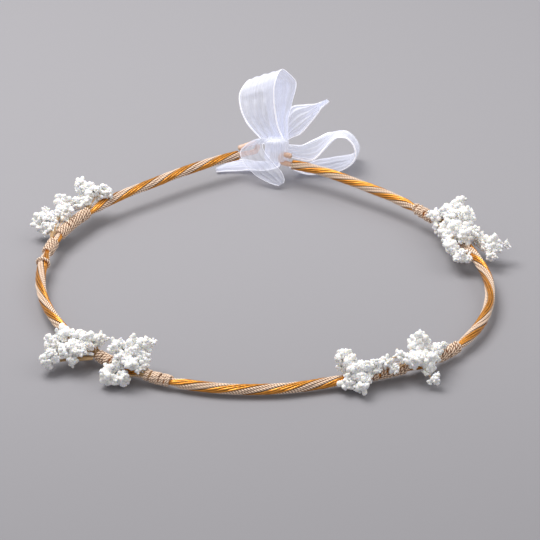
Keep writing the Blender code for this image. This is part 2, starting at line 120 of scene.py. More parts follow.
# Blooms of each sprig, nearest first: before the winding, outwards, upwards and radius in mm. Many
# are measured results that a program worked out, and differ from the frame's heads by up to 3 mm;
# the rest fill the gaps between them
SPRIGS = {
    "left_back_1": (
        ((-1.2, 6.6, 2.4, 1.7), (0.0, 4.4, 2.8, 1.6)),
        ((4.0, 5.4, 4.7, 2.1), (5.1, 9.1, 7.6, 2.0)),
        ((3.0, 3.8, 3.4, 1.6), (7.5, 5.9, 5.6, 2.1)),
        ((8.2, 3.0, 3.8, 1.7), (11.4, 2.5, 4.5, 1.9)),
    ),
    "left_back_2": (
        ((6.5, 4.5, 1.2, 1.5), (8.7, 6.0, -0.2, 1.9), (9.6, 12.0, -1.2, 1.9)),
        ((12.2, 6.6, 2.3, 1.9), (11.5, 11.1, 2.3, 2.0)),
        ((13.5, 4.6, 3.8, 1.8), (16.4, 3.6, 4.6, 1.8), (18.7, 8.0, 6.4, 2.1)),
    ),
    "left_front_1": (
        ((3.9, 9.4, 1.9, 1.7), (5.7, 11.0, 4.9, 1.9), (8.4, 17.6, 1.8, 2.1)),
        ((9.0, 7.2, 3.0, 1.8), (11.5, 12.9, 4.7, 2.1)),
        ((2.8, 7.7, 4.9, 1.8), (5.8, 7.0, 5.8, 1.8), (10.0, 7.2, 7.7, 2.1)),
        ((3.9, 1.7, 6.9, 1.9), (7.1, 2.8, 6.8, 2.0)),
        ((1.7, -2.6, 6.0, 1.5),),
    ),
    "left_front_2": (
        ((5.8, 6.1, 1.4, 1.8), (10.3, 9.3, 1.3, 2.1)),
        ((4.2, 2.8, 5.5, 1.8), (8.7, 3.8, 5.4, 1.9), (12.6, 0.5, 8.3, 2.1)),
        ((6.4, -0.6, 6.4, 1.9), (7.2, -4.0, 9.2, 2.1)),
        ((0.7, -1.0, 3.8, 1.4), (3.2, -2.6, 6.0, 1.7), (3.7, -6.4, 8.5, 1.9)),
    ),
    "right_front_1": (
        ((2.4, 3.8, 3.0, 1.7), (3.1, 5.9, 0.8, 1.9), (7.4, 3.4, 0.8, 1.9)),
        ((-3.8, 0.8, 4.9, 1.6),),
        ((0.2, 1.5, 5.4, 1.8), (4.2, 1.4, 4.4, 2.0), (5.8, -1.4, 5.6, 2.0), (7.7, -3.8, 7.7, 1.9)),
    ),
    "right_front_2": (
        ((5.6, 3.6, 4.2, 1.9), (7.2, 6.6, 4.0, 2.0), (9.4, 8.6, 2.0, 0.9), (7.8, 12.5, 0.4, 1.3)),
        ((11.7, 4.4, 5.3, 2.0), (20.1, 3.3, 3.4, 1.3)),
        ((-2.6, 0.2, 4.6, 1.1), (-0.2, 0.5, 5.0, 1.3), (2.6, 0.8, 5.4, 1.6)),
        ((16.1, 0.2, 6.4, 1.4), (22.6, 0.9, 5.5, 1.5)),
        ((8.0, 1.4, 6.0, 2.1), (6.8, -1.4, 9.2, 2.3)),
    ),
    "right_back": (
        ((22.4, 6.6, 1.6, 1.7), (28.2, 8.4, 2.1, 2.2), (32.6, 6.4, -0.2, 1.4), (29.4, 12.2, 1.6, 0.8),
         (30.1, 15.2, 1.4, 0.9)),
        ((5.2, 6.6, 4.6, 1.8), (5.5, 7.9, 7.2, 2.0)),
        ((10.7, 1.8, 5.4, 2.0), (16.4, 4.5, 8.6, 2.0), (22.6, 1.0, 5.8, 2.2)),
        ((6.1, 1.9, 7.2, 2.0),),
        ((14.2, -0.8, 5.0, 2.2), (18.6, -2.4, 5.2, 2.3), (25.2, -8.3, 2.9, 2.0), (30.1, -6.5, 0.4, 1.8),
         (32.1, -3.4, 0.0, 1.4)),
        ((3.8, -2.2, 4.2, 1.8), (6.1, -3.3, 1.0, 1.4), (12.0, -3.6, 2.2, 1.8), (19.0, -5.8, 1.6, 1.8)),
    ),
}
# Bracts: sprig, start and end as before the winding, outwards, upwards; half width and colour's piece
BRACTS = (
    ("left_front_1_b", (-0.4, 2.6, 2.0), (11.0, 9.6, 0.9), 1.7, "blooms"),
    ("left_front_1_a", (-0.8, 3.4, 0.8), (8.6, 14.0, -0.9), 2.1, "stems"),
    ("left_front_1_e", (0.6, -1.4, 4.0), (1.9, -3.4, 9.4), 1.0, "blooms"),
)
BRACT_THICKNESS = 0.28

# Ribbon edges of each limb, from the knot outwards, in mm from the bow's root. These too are mostly
# measured results that a program worked out; the stations inside the knot were added
BOW_LIMBS = {
    "tall_loop": (
        ((2.4, 2.0, -4.0), (-4.6, 2.4, -4.0)),
        ((2.2, 4.0, 0.5), (-7.6, 4.8, 0.5)),
        ((-0.3, 3.4, 7.6), (-12.9, 7.2, 5.8)),
        ((-1.7, 2.0, 15.4), (-16.2, 9.2, 10.5)),
        ((-2.5, 1.5, 26.6), (-17.9, 12.0, 17.0)),
        ((-1.1, 3.0, 33.6), (-16.9, 13.5, 21.4)),
        ((1.6, 7.0, 34.4), (-13.0, 16.0, 25.0)),
        ((6.2, 11.0, 27.5), (-8.5, 20.0, 21.0)),
        ((6.9, 11.2, 23.9), (-7.5, 19.6, 15.8)),
        ((4.8, 9.6, 15.5), (-5.5, 15.0, 9.0)),
        ((3.6, 7.6, 8.4), (-4.0, 10.4, 4.0)),
        ((3.4, 5.6, 0.5), (-3.0, 6.8, 0.5)),
        ((2.8, 2.8, -4.0), (-2.6, 3.4, -4.0)),
    ),
    "right_loop": (
        ((1.0, 1.6, -4.6), (1.0, 4.0, -0.8)),
        ((6.0, 3.2, -7.0), (6.0, 7.0, -2.4)),
        ((9.8, 3.8, -8.4), (9.5, 11.0, -4.6)),
        ((15.4, 4.4, -8.4), (15.6, 16.4, -4.6)),
        ((24.0, 7.0, 0.3), (22.7, 21.0, -4.0)),
        ((28.4, 7.0, 0.6), (29.3, 22.0, -3.8)),
        ((31.4, 7.0, -2.2), (33.8, 22.0, -7.9)),
        ((32.7, 6.5, -5.6), (35.2, 21.0, -12.4)),
        ((31.8, 6.2, -11.0), (32.6, 21.6, -15.6)),
        ((25.0, 5.6, -15.0), (24.6, 20.2, -16.0)),
        ((17.9, 5.2, -16.0), (17.7, 17.4, -16.0)),
        ((10.9, 5.2, -15.6), (10.5, 12.0, -15.8)),
        ((5.6, 5.0, -13.0), (5.4, 8.0, -13.2)),
        ((1.6, 2.4, -8.0), (1.6, 4.4, -8.0)),
    ),
    "upper_tail": (
        ((1.6, 3.0, -3.6), (-1.4, 3.6, -1.6)),
        ((3.6, 9.0, -1.2), (1.0, 11.0, 2.7)),
        ((9.0, 10.0, 1.2), (4.5, 16.0, 10.8)),
        ((13.2, 12.0, 5.4), (11.0, 18.0, 11.5)),
        ((17.8, 15.0, 10.5), (16.7, 18.0, 12.2)),
        ((21.5, 17.0, 13.6), (20.6, 18.0, 14.0)),
    ),
    "front_loop": (
        ((-3.4, 3.2, 2.4), (0.2, 0.8, 3.0)),
        ((-11.2, 4.4, 0.8), (-4.4, 1.4, 2.4)),
        ((-17.0, 3.4, -3.2), (-7.6, 1.2, 1.2)),
        ((-16.4, 1.6, -7.0), (-6.4, -0.4, -2.6)),
        ((-13.2, 0.4, -11.4), (-3.2, -1.4, -6.6)),
        ((-8.4, -1.8, -14.4), (0.2, -2.6, -10.0)),
        ((-3.6, -4.2, -15.8), (1.8, -3.6, -13.2)),
        ((-0.6, -5.4, -16.0), (1.6, -4.6, -15.0)),
    ),
    "left_tail": (
        ((-0.2, 2.4, -7.6), (-0.2, 5.0, -7.6)),
        ((-1.6, 3.6, -11.8), (-1.6, 8.4, -11.6)),
        ((-9.0, 7.0, -15.0), (-10.0, 13.0, -14.6)),
        ((-17.2, 8.9, -16.1), (-18.6, 16.2, -15.6)),
        ((-27.9, 8.4, -16.1), (-28.2, 9.2, -16.0)),
    ),
}
# Factor on the weave's cover in each limb and in the knot, set for how sheer each looks
CLOTH_DENSITY = {
    "tall_loop": 1.15, "right_loop": 0.62, "upper_tail": 0.72, "front_loop": 0.42, "left_tail": 0.75,
}
KNOT_DENSITY = 1.35
# How far the knot's middle lies from the bow's root
KNOT_RISE = np.array((0.0, 1.0, 2.4)) * MM
# The knot's half width, half depth and half height, and how far its wrap lies from the bow's root
KNOT_HALF = (6.2, 3.4, 5.9)
KNOT_SHIFT = (-1.6, 1.6, -1.9)

MAIN_STEM_RADIUS = 0.28 * MM
SIDE_STEM_RADIUS = 0.16 * MM
FLOOR_GAP = 0.1 * MM

# Stage: the camera's target, distance, elevation in degrees and lens in mm; each light's place, size,
# power and colour; and the floor's colour at the front and at the back, painted shading that makes the front
# darker
CAMERA_TARGET = np.array((-0.8, -2.2, 0.9)) * MM
CAMERA_DISTANCE = 0.95
CAMERA_ELEVATION = 32.0
CAMERA_LENS = 154.4
LIGHTS = {
    "key": ((-0.3, 0.2, 0.85), 0.6, 8.6, (1.0, 0.985, 0.965)),
    "fill": ((0.6, 0.1, 0.9), 0.8, 2.2, (1.0, 0.99, 0.98)),
}
WORLD_COLOUR = (1.0, 0.99, 0.985, 1)
WORLD_STRENGTH = 0.5
FLOOR_HALF = 3.0
FLOOR_DROP = 0.02 * MM
FLOOR_FRONT = (0.282, 0.278, 0.298, 1)
FLOOR_BACK = (0.326, 0.321, 0.344, 1)


def smooth_through(stations, values, wanted):
    """Cubic curve through the values, each station's slope taken from its neighbours."""
    stations = np.asarray(stations, float)
    values = np.asarray(values, float)
    wanted = np.asarray(wanted, float)
    slopes = np.gradient(values, stations, axis=0)
    index = np.clip(np.searchsorted(stations, wanted) - 1, 0, len(stations) - 2)
    span = stations[index + 1] - stations[index]
    share = (wanted - stations[index]) / span
    if values.ndim == 2:
        share = share[:, None]
        span = span[:, None]
    rise = 3 * share ** 2 - 2 * share ** 3
    leave = share * (1 - share) ** 2 * span
    arrive = share ** 2 * (share - 1) * span
    start, end = values[index], values[index + 1]
    return start + (end - start) * rise + slopes[index] * leave + slopes[index + 1] * arrive


def unit(vectors):
    """Vectors divided by their lengths."""
    return vectors / np.maximum(np.linalg.norm(vectors, axis=-1, keepdims=True), 1e-12)


def wander(places, period, seed):
    """Smooth random drift between -1 and 1: four sines of unlike periods with random phases."""
    rng = np.random.default_rng(seed)
    total = 0.0
    for share in (1.0, 0.61, 0.37, 0.23):
        total = total + np.sin(2 * np.pi * places / (period * share) + rng.uniform(0, 6.28))
    return total / 4


def run_along(path):
    """Distance of each point along a path from its first."""
    steps = np.linalg.norm(np.diff(path, axis=0), axis=1)
    return np.concatenate(((0.0,), np.cumsum(steps)))


def ring_angles(sides):
    """Angles in radians of the points of a ring."""
    return 2 * np.pi * np.arange(sides) / sides


class Rope:
    """The rope's middle line, measured in metres along it from its left end."""

    def __init__(self):
        bearings, shares = zip(*HOOP_BENDS)
        self.bearings = np.linspace(bearings[0], bearings[-1], 4001)
        turn = np.radians(self.bearings)
        half_width, half_depth = HOOP_WIDTH / 2, HOOP_DEPTH / 2
        ellipse = half_width * half_depth / np.hypot(half_depth * np.cos(turn), half_width * np.sin(turn))
        radius = ellipse * smooth_through(bearings, shares, self.bearings)
        x, y = radius * np.cos(turn), radius * np.sin(turn)
        z = BACK_LIFT * np.clip((y + half_depth) / HOOP_DEPTH, 0, 1)
        points = np.stack((x, y, z), axis=1)
        low = np.array(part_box("core_wire")[0])
        self.points = points + low + CORE_DIAMETER / 2 - points.min(axis=0)
        self.distances = run_along(points)
        self.length = self.distances[-1]
        self.spans = [self.span(name) for name in WINDINGS]

    def distance(self, bearing):
        """Distance along the rope at a bearing in degrees."""
        return float(np.interp(bearing, self.bearings, self.distances))

    def start(self, name):
        """Distance along the rope where a winding starts."""
        if name in BUNCH_BEARINGS:
            return self.distance(BUNCH_BEARINGS[name])
        before, spacing = WINDING_SPACING[name]
        start, end = self.span(before)
        return max(start + spacing * MM, end + FREE_ROPE)

    def span(self, name):
        """Start and end of a winding along the rope."""
        turns, pitch = WINDINGS[name][:2]
        start = self.start(name)
        return start, start + turns * pitch * MM

    def at(self, distance):
        """Points on the middle line."""
        return np.stack([np.interp(distance, self.distances, self.points[:, i]) for i in range(3)], -1)

    def frames(self, distance):
        """Middle, direction, outward and upward vectors at each distance, straight past the ends."""
        inside = np.clip(distance, 0, self.length)
        low = np.clip(inside - MM, 0, self.length - 2 * MM)
        along = unit(self.at(low + 2 * MM) - self.at(low))
        middle = self.at(inside) + along * (distance - inside)[:, None]
        outward = unit(np.stack((along[:, 1], -along[:, 0], np.zeros(len(along))), 1))
        return middle, along, outward, np.cross(outward, along)

    def place(self, distance, out, up):
        """Points so far outwards and upwards from the middle line at each distance."""
        given = (np.atleast_1d(value).astype(float) for value in (distance, out, up))
        distance, out, up = np.broadcast_arrays(*given)
        middle, _, outward, upward = self.frames(distance)
        return middle + outward * out[:, None] + upward * up[:, None]

    def squeeze(self, distance):
        """Share of the rope's full size: less under and beside the windings."""
        result = np.ones(len(distance))
        for start, end in self.spans:
            outside = np.maximum(start - distance, distance - end) - SQUEEZE_MARGIN
            free = np.clip(outside / SQUEEZE_LENGTH, 0, 1)
            free = free * free * (3 - 2 * free)
            result = np.minimum(result, BOUND_SHARE + (1 - BOUND_SHARE) * free)
        return result

    def twist(self, distance):
        """Where the first gold strand lies, in radians round the rope from straight outwards."""
        bearings = np.interp(distance, self.distances, self.bearings)
        return np.radians(smooth_through(*zip(*TWIST), bearings))


ROPE = Rope()


def bow_root():
    """The point that the ribbon's edges are measured from."""
    low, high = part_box("bow_knot")
    return (np.array(low) + np.array(high)) / 2 - KNOT_RISE


def sweep(path, guide, radius):
    """Grid of rings square to a path: ring point = path + radius(station, angle) times a turning
    unit vector that starts at the guide direction and goes round the path."""
    along = unit(np.gradient(path, axis=0))
    side = unit(np.cross(along, guide))
    start = np.cross(side, along)
    angle = ring_angles(radius.shape[1])
    ring = start[:, None] * np.cos(angle)[None, :, None] + side[:, None] * np.sin(angle)[None, :, None]
    return path[:, None] + ring * radius[:, :, None]


def store_values(data, key, values):
    """Point attribute of a mesh."""
    attribute = data.attributes.new(key, "FLOAT", "POINT")
    attribute.data.foreach_set("value", np.asarray(values, np.float32).ravel())


def store_uv(data, name, values):
    """UV map of a mesh from one pair of values for each of its points."""
    corners = np.zeros(len(data.loops), np.int64)
    data.loops.foreach_get("vertex_index", corners)
    layer = data.uv_layers.new(name=name)
    layer.data.foreach_set("uv", values[corners].astype(np.float32).ravel())


def closed_mesh(name, batches, values=None):
    """Mesh of closed tubes. Each batch is an array (tubes, rings, sides, 3) with its end points
    (tubes, 2, 3); quads go round the tubes and triangles meet at the end points. Values are point
    attributes, one array (tubes, rings, sides) a batch, whose ends take their ring's mean."""
    points, faces, offset = [], [], 0
    stored = {key: [] for key in values or {}}
    for number, (grid, ends) in enumerate(batches):
        tubes, rings, sides = grid.shape[:3]
        size = rings * sides + 2
        points.append(np.concatenate((grid.reshape(tubes, -1, 3), ends), axis=1).reshape(-1, 3))
        ring, side = np.meshgrid(np.arange(rings - 1), np.arange(sides), indexing="ij")
        here, beside = ring * sides + side, ring * sides + (side + 1) % sides
        quads = np.stack((here, beside, beside + sides, here + sides), -1).reshape(-1, 4)
        side = np.arange(sides)
        beside = (side + 1) % sides
        last = (rings - 1) * sides
        starts = np.stack((np.full(sides, size - 2), beside, side), 1)
        finish = np.stack((np.full(sides, size - 1), last + side, last + beside), 1)
        shift = offset + size * np.arange(tubes)[:, None, None]
        faces += (quads[None] + shift).reshape(-1, 4).tolist()
        faces += (np.concatenate((starts, finish))[None] + shift).reshape(-1, 3).tolist()
        offset += size * tubes
        for key, rows in stored.items():
            value = values[key][number]
            caps = np.stack((value[:, 0].mean(-1), value[:, -1].mean(-1)), -1)
            rows.append(np.concatenate((value.reshape(tubes, -1), caps), axis=1).ravel())
    data = bpy.data.meshes.new(name)
    data.from_pydata(np.concatenate(points).tolist(), [], faces)
    for key, rows in stored.items():
        store_values(data, key, np.concatenate(rows))
    data.shade_smooth()
    return data


def tube_batch(grid):
    """One tube as a batch, its end points in the middle of its end rings."""
    return grid[None], np.stack((grid[0].mean(0), grid[-1].mean(0)))[None]


def place_piece(name, data, material, body, nodes):
    """Object of a finished mesh at the origin, riding on its body in place of its frame nodes."""
    item = bpy.data.objects.new(name, data)
    bpy.context.scene.collection.objects.link(item)
    data.materials.append(material)
    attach(item, body)
    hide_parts(*nodes)
    return item


# ---------------------------------------------------------------- materials

def add_node(tree, kind, inputs=None, **settings):
    """New node with its settings made and its inputs set or linked."""
    made = tree.nodes.new(kind)
    for key, value in settings.items():
        setattr(made, key, value)
    for key, value in (inputs or {}).items():
        if isinstance(value, bpy.types.NodeSocket):
            tree.links.new(value, made.inputs[key])
        else:
            made.inputs[key].default_value = value
    return made


def maths(tree, operation, *values):
    """Output of a new maths node."""
    return add_node(tree, "ShaderNodeMath", dict(enumerate(values)), operation=operation).outputs[0]


def new_group(name, inputs, outputs):
    """Shader node group with its sockets; returns the tree, its input node and its output node."""
    tree = bpy.data.node_groups.new(name, "ShaderNodeTree")
    for socket, kind, value in inputs:
        made = tree.interface.new_socket(name=socket, in_out="INPUT", socket_type=kind)
        made.default_value = value
    for socket, kind in outputs:
        tree.interface.new_socket(name=socket, in_out="OUTPUT", socket_type=kind)
    return tree, tree.nodes.new("NodeGroupInput"), tree.nodes.new("NodeGroupOutput")


def fibre_group():
    """Fine fibres: stretched noise gives a shade around one and a height."""
    tree, given, out = new_group(
        "Fine Fibres",
        (("Vector", "NodeSocketVector", (0, 0, 0)), ("Scale", "NodeSocketFloat", 3000.0),
         ("Contrast", "NodeSocketFloat", 0.2)),
        (("Shade", "NodeSocketFloat"), ("Height", "NodeSocketFloat")),
    )
    noise = add_node(tree, "ShaderNodeTexNoise", {
        "Vector": given.outputs["Vector"], "Scale": given.outputs["Scale"], "Detail": 3.0, "Roughness": 0.65})
    centred = maths(tree, "SUBTRACT", noise.outputs["Fac"], 0.5)
    shade = maths(tree, "MULTIPLY_ADD", centred, given.outputs["Contrast"], 1.0)
    tree.links.new(shade, out.inputs["Shade"])
    tree.links.new(noise.outputs["Fac"], out.inputs["Height"])
    return tree


def crevice_group():
    """Two colours mixed by depth, the edge between them broken up by the fibres' shade. The deep colour is
    painted shade in crevices and on shaded sides.
    """
    tree, given, out = new_group(
        "Painted Crevice Shade",
        (("Surface", "NodeSocketColor", (1, 1, 1, 1)), ("Deep", "NodeSocketColor", (0.3, 0.2, 0.1, 1)),
         ("Depth", "NodeSocketFloat", 0.0), ("Shade", "NodeSocketFloat", 1.0),
         ("Start", "NodeSocketFloat", 0.2), ("End", "NodeSocketFloat", 0.8)),
        (("Color", "NodeSocketColor"),),
    )
    ramp = add_node(tree, "ShaderNodeMapRange", {
        "Value": given.outputs["Depth"], "From Min": given.outputs["Start"],
        "From Max": given.outputs["End"]}, interpolation_type="SMOOTHSTEP")
    mixed = add_node(tree, "ShaderNodeMix", {
        "Factor": ramp.outputs["Result"], 6: given.outputs["Surface"], 7: given.outputs["Deep"]},
        data_type="RGBA")
    lit = add_node(tree, "ShaderNodeVectorMath", {0: mixed.outputs[2], 3: given.outputs["Shade"]},
                   operation="SCALE")
    tree.links.new(lit.outputs[0], out.inputs["Color"])
    return tree


def weave_group():
    """Sheer weave: threads both ways from the cloth's own UV map, opaque at the selvages."""
    tree, given, out = new_group(
        "Sheer Weave",
        (("Threads", "NodeSocketFloat", 60.0), ("Open", "NodeSocketFloat", 0.3),
         ("Closed", "NodeSocketFloat", 0.55), ("Selvage", "NodeSocketFloat", 0.9),
         ("Density", "NodeSocketFloat", 1.0)),
        (("Cover", "NodeSocketFloat"), ("Height", "NodeSocketFloat"), ("Edge", "NodeSocketFloat")),
    )
    place = add_node(tree, "ShaderNodeUVMap", uv_map="cloth")
    axes = add_node(tree, "ShaderNodeSeparateXYZ", {0: place.outputs[0]})
    waves = []
    for axis in ("X", "Y"):
        angle = maths(tree, "MULTIPLY", maths(tree, "MULTIPLY", axes.outputs[axis], given.outputs["Threads"]),
                      2 * math.pi)
        waves.append(maths(tree, "SINE", angle))
    top = maths(tree, "MAXIMUM", *waves)
    cloud = add_node(tree, "ShaderNodeTexNoise", {"Vector": place.outputs[0], "Scale": 2.2, "Detail": 2.0})
    drawn = add_node(tree, "ShaderNodeMapping", {"Vector": place.outputs[0], "Scale": (22.0, 0.7, 1.0)})
    pulls = add_node(tree, "ShaderNodeTexNoise", {"Vector": drawn.outputs[0], "Scale": 1.0, "Detail": 2.0})
    mixed = maths(tree, "ADD", cloud.outputs["Fac"], pulls.outputs["Fac"])
    soft = maths(tree, "MULTIPLY_ADD", mixed, 0.75, -0.75)
    mask = maths(tree, "ADD", maths(tree, "MULTIPLY_ADD", top, 0.35, 0.4), soft)
    cover = add_node(tree, "ShaderNodeMapRange", {
        "Value": mask, "To Min": given.outputs["Open"], "To Max": given.outputs["Closed"]})
    packed = maths(tree, "MULTIPLY", cover.outputs["Result"], given.outputs["Density"])
    across = maths(tree, "ABSOLUTE", maths(tree, "SUBTRACT", axes.outputs["X"], 0.5))
    edge = add_node(tree, "ShaderNodeMapRange", {
        "Value": across, "From Min": 0.460, "From Max": 0.474}, interpolation_type="SMOOTHSTEP")
    final = add_node(tree, "ShaderNodeMix", {
        "Factor": edge.outputs["Result"], 2: packed, 3: given.outputs["Selvage"]})
    tree.links.new(final.outputs[0], out.inputs["Cover"])
    tree.links.new(top, out.inputs["Height"])
    tree.links.new(edge.outputs["Result"], out.inputs["Edge"])
    return tree


GROUP_MAKERS = {"Fine Fibres": fibre_group, "Painted Crevice Shade": crevice_group, "Sheer Weave": weave_group}


def group_node(tree, name, inputs):
    """A shared group placed in a material with its own values; the group is built once."""
    group = bpy.data.node_groups.get(name) or GROUP_MAKERS[name]()
    return add_node(tree, "ShaderNodeGroup", inputs, node_tree=group)


def new_material(name, **sockets):
    """Principled material with constants set on the shader's own sockets."""
    material = bpy.data.materials.new(name)
    material.use_nodes = True
    shader = material.node_tree.nodes["Principled BSDF"]
    for key, value in sockets.items():
        shader.inputs[key.replace("_", " ")].default_value = value
    return material, material.node_tree, shader


def feed_bump(tree, shader, height, distance, strength=1.0):
    """Bump of a height into the shader's normal."""
    bump = add_node(tree, "ShaderNodeBump", {"Height": height, "Distance": distance, "Strength": strength})
    tree.links.new(bump.outputs[0], shader.inputs["Normal"])


def depth_material(name, surface, deep, start, end, scale, contrast, bump, **sockets):
    """Material whose colour goes from surface to deep by the depth attribute, with fine fibres; the deep
    colour is painted shade.
    """
    material, tree, shader = new_material(name, **sockets)
    place = add_node(tree, "ShaderNodeTexCoord")
    fibres = group_node(tree, "Fine Fibres", {
        "Vector": place.outputs["Object"], "Scale": scale, "Contrast": contrast})
    depth = add_node(tree, "ShaderNodeAttribute", attribute_name="depth")
    colour = group_node(tree, "Painted Crevice Shade", {
        "Surface": (*surface, 1), "Deep": (*deep, 1), "Depth": depth.outputs["Fac"],
        "Shade": fibres.outputs["Shade"], "Start": start, "End": end})
    tree.links.new(colour.outputs["Color"], shader.inputs["Base Color"])
    feed_bump(tree, shader, fibres.outputs["Height"], bump)
    return material


def stored_material(name, maker):
    """A material by name, made the first time that it is asked for."""
    return bpy.data.materials.get(name) or maker(name)


def cord_material(name):
    """Cream and rose cord: cream plies, with painted shade in brown between them that gives the cord its
    flecked look.
    """
    colours = bpy.context.scene.crown_colours
    return depth_material(name, colours.cord, colours.cord_shadow, 0.34, 0.7, 2500.0, 0.25, 0.04 * MM,
                          Roughness=0.8, Sheen_Weight=0.15)


def straw_material(name):
    """Glossy amber straw with fine streaks along it, and painted shade on its sides and back."""
    colours = bpy.context.scene.crown_colours
    material, tree, shader = new_material(name, Roughness=0.26, Metallic=0.8, Coat_Weight=0.5,
                                          Coat_Roughness=0.1, Specular_IOR_Level=0.6)
    place = add_node(tree, "ShaderNodeUVMap", uv_map="strand")
    streaks = add_node(tree, "ShaderNodeMapping", {"Vector": place.outputs[0], "Scale": (1.0, 14.0, 1.0)})
    fibres = group_node(tree, "Fine Fibres", {"Vector": streaks.outputs[0], "Scale": 0.6, "Contrast": 2.2})
    depth = add_node(tree, "ShaderNodeAttribute", attribute_name="depth")
    colour = group_node(tree, "Painted Crevice Shade", {
        "Surface": (*colours.straw, 1), "Deep": (*colours.straw_shadow, 1), "Depth": depth.outputs["Fac"],
        "Shade": fibres.outputs["Shade"], "Start": 0.08, "End": 0.5})
    tree.links.new(colour.outputs["Color"], shader.inputs["Base Color"])
    feed_bump(tree, shader, fibres.outputs["Height"], 0.05 * MM)
    return material


def wire_material(name):
    """Paper-covered wire."""
    return depth_material(name, (0.62, 0.5, 0.38), (0.4, 0.3, 0.2), 0.4, 1.0, 1200.0, 0.3, 0.03 * MM,
                          Roughness=0.8)


def tape_material(name):
    """Nude florist's tape, with painted shade where one lap ends over the next."""
    colours = bpy.context.scene.crown_colours
    return depth_material(name, colours.tape, colours.tape_shadow, 0.45, 1.0, 700.0, 0.25, 0.05 * MM,
                          Roughness=0.55, Sheen_Weight=0.1)


def bloom_material(name):
    """Bleached bloom: white, with painted shade in cream and tan down between the florets."""
    colours = bpy.context.scene.crown_colours
    return depth_material(name, colours.bloom, colours.bloom_shadow, 0.5, 1.1, 900.0, 0.08, 0.05 * MM,
                          Roughness=0.85, Subsurface_Weight=0.8, Subsurface_Radius=(0.002, 0.0018, 0.0015))


def stem_material(name):
    """Dry tan stem."""
    colours = bpy.context.scene.crown_colours
    return depth_material(name, colours.stem, colours.stem_shadow, 0.3, 1.0, 1500.0, 0.5, 0.04 * MM,
                          Roughness=0.7)


def organza_material(name):
    """Sheer crisp ribbon, white with a lavender cast, with bright opaque selvages. A faint glow stands
    in for the light that comes through the cloth."""
    colours = bpy.context.scene.crown_colours
    material, tree, shader = new_material(name, Roughness=0.42, Sheen_Weight=0.5, Sheen_Roughness=0.3,
                                          Specular_IOR_Level=0.4, Emission_Strength=0.42)
    density = add_node(tree, "ShaderNodeAttribute", attribute_name="cloth_layers")
    weave = group_node(tree, "Sheer Weave", {
        "Threads": 60.0, "Open": 0.16, "Closed": 0.72, "Selvage": 0.92, "Density": density.outputs["Fac"]})
    glow = tuple(0.45 * part for part in colours.organza)
    for socket, body, edge in (("Base Color", colours.organza, (0.97, 0.97, 1.0)),
                               ("Emission Color", glow, (0.9, 0.9, 1.0))):
        colour = add_node(tree, "ShaderNodeMix", {
            "Factor": weave.outputs["Edge"], 6: (*body, 1), 7: (*edge, 1)}, data_type="RGBA")
        tree.links.new(colour.outputs[2], shader.inputs[socket])
    tree.links.new(weave.outputs["Cover"], shader.inputs["Alpha"])
    feed_bump(tree, shader, weave.outputs["Height"], 0.02 * MM, 0.5)
    return material


# ---------------------------------------------------------------- pieces

def plied_grid(path, guide, radius, ply, plies, sides, seed):
    """Twisted cord: ring radius = radius times (0.66 + 0.34 times the cosine of the angle to the
    nearest ply's crest), the plies turning once a ply length. Depth is one between the crests."""
    run = run_along(path)
    angle = ring_angles(sides)
    phase = angle[None] - 2 * np.pi * run[:, None] / ply + seed
    crest = np.abs(np.cos(phase * plies / 2))
    size = radius * (1 + 0.05 * wander(run, 9 * MM, seed))
    # The cord's material paints brown shade where this depth is high, between the plies
    return sweep(path, guide, size[:, None] * (0.66 + 0.34 * crest)), 1 - crest


def strand_path(offset, middle_radius, seed, distance):
    """Path of one cord or straw: round the rope at the strand's twist plus an offset, with a
    slight drift; returns its points and the outward direction at each."""
    turn = ROPE.twist(distance) + math.radians(offset) + 0.06 * wander(distance, 60 * MM, seed)
    reach = middle_radius * ROPE.squeeze(distance) * (1 + 0.03 * wander(distance, 35 * MM, seed + 50))
    middle, _, outward, upward = ROPE.frames(distance)
    radial = outward * np.cos(turn)[:, None] + upward * np.sin(turn)[:, None]
    return middle + radial * reach[:, None], radial


def strand_uv(data, grids):
    """UV map along each straw in mm and round it in turns, from its grid order."""
    lengths = []
    for grid in grids:
        rings, sides = grid.shape[:2]
        run = np.linspace(0, 1, rings)[:, None] * ROPE.length / MM
        around = np.arange(sides)[None] / sides
        pairs = np.stack(np.broadcast_arrays(run, around), -1).reshape(-1, 2)
        lengths.append(np.concatenate((pairs, pairs[:1], pairs[-1:])))
    store_uv(data, "strand", np.concatenate(lengths))


class CROWN_OT_beige_cords(bpy.types.Operator):
    """Lay the two pairs of beige cords round the rope, with painted shade between their plies"""
    bl_idname = "crown.beige_cords"
    bl_label = "Beige Cords"

    def execute(self, context):
        sizes = context.scene.crown_sizes
        material = stored_material("cord_painted_ply_shade", cord_material)
        step = sizes.cord_ply / 10
        distance = np.arange(0, ROPE.length, step)
        for strand in (1, 2):
            batches, depths = [], []
            for side in (-1, 1):
                seed = strand * 10 + side
                offset = 180 * strand + 90 + side * sizes.cord_spread
                path, radial = strand_path(offset, sizes.rope_radius - sizes.cord_radius, seed, distance)
                radius = sizes.cord_radius * (0.85 + 0.15 * ROPE.squeeze(distance))
                grid, depth = plied_grid(path, radial, radius, sizes.cord_ply, 2, 10, seed)
                batches.append(tube_batch(grid))
                depths.append(depth[None])
            data = closed_mesh(f"beige_cords_{strand}", batches, {"depth": depths})
            place_piece(data.name, data, material, "crown", (f"braid_strand_{strand}",))
        return {"FINISHED"}


